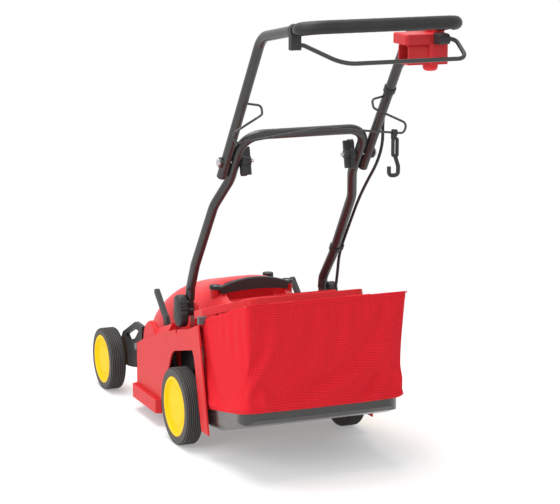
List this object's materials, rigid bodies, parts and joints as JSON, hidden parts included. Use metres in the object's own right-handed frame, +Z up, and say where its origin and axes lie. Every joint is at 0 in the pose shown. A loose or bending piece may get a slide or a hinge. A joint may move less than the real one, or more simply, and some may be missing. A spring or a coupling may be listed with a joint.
{
  "type": "electric rotary lawn mower",
  "caption": "Corded electric rotary lawn mower: red deck and motor hood, folding tube handle with bail switch, yellow-rimmed wheels on height arms and a lift-off rear grass bag.",
  "frame": {"origin": "on the ground under the middle of the machine's length and width", "axes": "+Y forward, the way it mows; +X the operator's right; +Z up"},
  "size_m": [0.45, 1.263, 1.0286],
  "materials": {
    "red_plastic": "gloss moulded",
    "black_plastic": "satin moulded",
    "yellow_plastic": "gloss moulded",
    "tyre_rubber": "ribbed",
    "tube_paint": "gloss black",
    "foam": "matt foam",
    "steel": "bright",
    "bag_cloth": "woven mesh",
    "grey_plastic": "satin",
    "lead_rubber": "satin",
    "motor_paint": "satin",
    "brass_pins": "bright"
  },
  "bodies": {
    "deck": {"deck_shell": "red_plastic", "motor_hood": "red_plastic", "carry_handle": "black_plastic", "carry_screws": "steel", "hood_knob": "black_plastic", "flap_rod": "steel", "motor_can": "motor_paint", "motor_bearings": "steel", "motor_screws": "steel", "arm_pins": "steel", "foot_bolts": "steel", "lead_gland": "black_plastic"},
    "blade_set": {"motor_shaft": "steel", "motor_rotor": "steel", "blade_carrier": "black_plastic", "cutting_blade": "steel", "blade_bolt": "steel"},
    "rear_flap": {"rear_flap": "red_plastic"},
    "grass_bag": {"bag_frame": "red_plastic", "grass_bag": "bag_cloth", "bag_pan": "black_plastic", "bag_hooks": "grey_plastic"},
    "lower_handle": {"lower_handle": "tube_paint", "clamp_bolts": "steel", "lead_clip_lower": "black_plastic", "motor_lead_lower": "lead_rubber"},
    "upper_handle": {"upper_handle": "tube_paint", "tube_plugs": "black_plastic", "foam_grip": "foam", "clamp_saddles": "black_plastic", "switch_box": "red_plastic", "inlet_pins": "brass_pins", "bail_boss": "black_plastic", "bail_clip": "black_plastic", "cable_rail": "tube_paint", "lead_clip_upper": "black_plastic", "motor_lead_upper": "lead_rubber"},
    "bail_bar": {"bail_bar": "tube_paint"},
    "lock_button": {"lock_button": "red_plastic"},
    "cable_hook": {"cable_hook": "black_plastic"},
    "rear_arm_left": {"rear_arm_left": "black_plastic", "axle_rear_left": "steel"},
    "rear_wheel_left": {"tyre_rear_left": "tyre_rubber", "rim_rear_left": "yellow_plastic"},
    "front_arm_left": {"front_arm_left": "black_plastic", "axle_front_left": "steel"},
    "front_wheel_left": {"tyre_front_left": "tyre_rubber", "rim_front_left": "yellow_plastic"},
    "foot_knob_left": {"foot_knob_left": "black_plastic"},
    "wing_knob_left": {"wing_knob_left": "black_plastic"},
    "rear_arm_right": {"rear_arm_right": "black_plastic", "axle_rear_right": "steel"},
    "rear_wheel_right": {"tyre_rear_right": "tyre_rubber", "rim_rear_right": "yellow_plastic"},
    "front_arm_right": {"front_arm_right": "black_plastic", "axle_front_right": "steel"},
    "front_wheel_right": {"tyre_front_right": "tyre_rubber", "rim_front_right": "yellow_plastic"},
    "foot_knob_right": {"foot_knob_right": "black_plastic"},
    "wing_knob_right": {"wing_knob_right": "black_plastic"}
  },
  "joints": [
    {"name": "blade_spin", "type": "hinge", "parent": "deck", "child": "blade_set", "pos_m": [0, 0.3065, 0.1], "axis": [0, 0, 1], "continuous": true},
    {"name": "flap_hinge", "type": "hinge", "parent": "deck", "child": "rear_flap", "pos_m": [0, 0.0135, 0.308], "axis": [-1, 0, 0], "range_deg": [0, 36]},
    {"name": "bag_slide", "type": "slide", "parent": "deck", "child": "grass_bag", "axis": [0, -1, 0], "range_m": [0, 0.35]},
    {"name": "lower_fold", "type": "hinge", "parent": "deck", "child": "lower_handle", "pos_m": [0, 0.0665, 0.303], "axis": [-1, 0, 0], "range_deg": [0, 92], "deforming": ["motor_lead_lower"]},
    {"name": "upper_fold", "type": "hinge", "parent": "lower_handle", "child": "upper_handle", "pos_m": [0, -0.17317, 0.684], "axis": [1, 0, 0], "range_deg": [0, 92], "deforming": ["motor_lead_upper", "motor_lead_lower"]},
    {"name": "bail_hinge", "type": "hinge", "parent": "upper_handle", "child": "bail_bar", "pos_m": [0, -0.5545, 0.97408], "axis": [-1, 0, 0], "range_deg": [0, 38], "stiffness_Nm_per_rad": 0.6, "springref_deg": -22.92},
    {"name": "button_push", "type": "slide", "parent": "upper_handle", "child": "lock_button", "axis": [0, 0, 1], "range_m": [0, 0.006], "stiffness_N_per_m": 400, "springref_m": -0.004},
    {"name": "hook_slide", "type": "slide", "parent": "upper_handle", "child": "cable_hook", "axis": [-0.9933, 0, 0.1154], "range_m": [0, 0.155]},
    {"name": "rear_height_left", "type": "hinge", "parent": "deck", "child": "rear_arm_left", "pos_m": [0, 0.1415, 0.124], "axis": [1, 0, 0], "range_deg": [0, 13]},
    {"name": "rear_roll_left", "type": "hinge", "parent": "rear_arm_left", "child": "rear_wheel_left", "pos_m": [-0.205, 0.0215, 0.09], "axis": [1, 0, 0], "continuous": true},
    {"name": "front_height_left", "type": "hinge", "parent": "deck", "child": "front_arm_left", "pos_m": [0, 0.4065, 0.14], "axis": [-1, 0, 0], "range_deg": [0, 11]},
    {"name": "front_roll_left", "type": "hinge", "parent": "front_arm_left", "child": "front_wheel_left", "pos_m": [-0.205, 0.5535, 0.078], "axis": [1, 0, 0], "continuous": true},
    {"name": "foot_knob_turn_left", "type": "hinge", "parent": "deck", "child": "foot_knob_left", "pos_m": [-0.18, 0.0665, 0.303], "axis": [1, 0, 0], "continuous": true},
    {"name": "wing_turn_left", "type": "hinge", "parent": "lower_handle", "child": "wing_knob_left", "pos_m": [-0.128, -0.17317, 0.684], "axis": [1, 0, 0], "continuous": true},
    {"name": "rear_height_right", "type": "hinge", "parent": "deck", "child": "rear_arm_right", "pos_m": [0, 0.1415, 0.124], "axis": [1, 0, 0], "range_deg": [0, 13]},
    {"name": "rear_roll_right", "type": "hinge", "parent": "rear_arm_right", "child": "rear_wheel_right", "pos_m": [0.205, 0.0215, 0.09], "axis": [1, 0, 0], "continuous": true},
    {"name": "front_height_right", "type": "hinge", "parent": "deck", "child": "front_arm_right", "pos_m": [0, 0.4065, 0.14], "axis": [-1, 0, 0], "range_deg": [0, 11]},
    {"name": "front_roll_right", "type": "hinge", "parent": "front_arm_right", "child": "front_wheel_right", "pos_m": [0.205, 0.5535, 0.078], "axis": [1, 0, 0], "continuous": true},
    {"name": "foot_knob_turn_right", "type": "hinge", "parent": "deck", "child": "foot_knob_right", "pos_m": [0.18, 0.0665, 0.303], "axis": [1, 0, 0], "continuous": true},
    {"name": "wing_turn_right", "type": "hinge", "parent": "lower_handle", "child": "wing_knob_right", "pos_m": [0.128, -0.17317, 0.684], "axis": [1, 0, 0], "continuous": true}
  ]
}
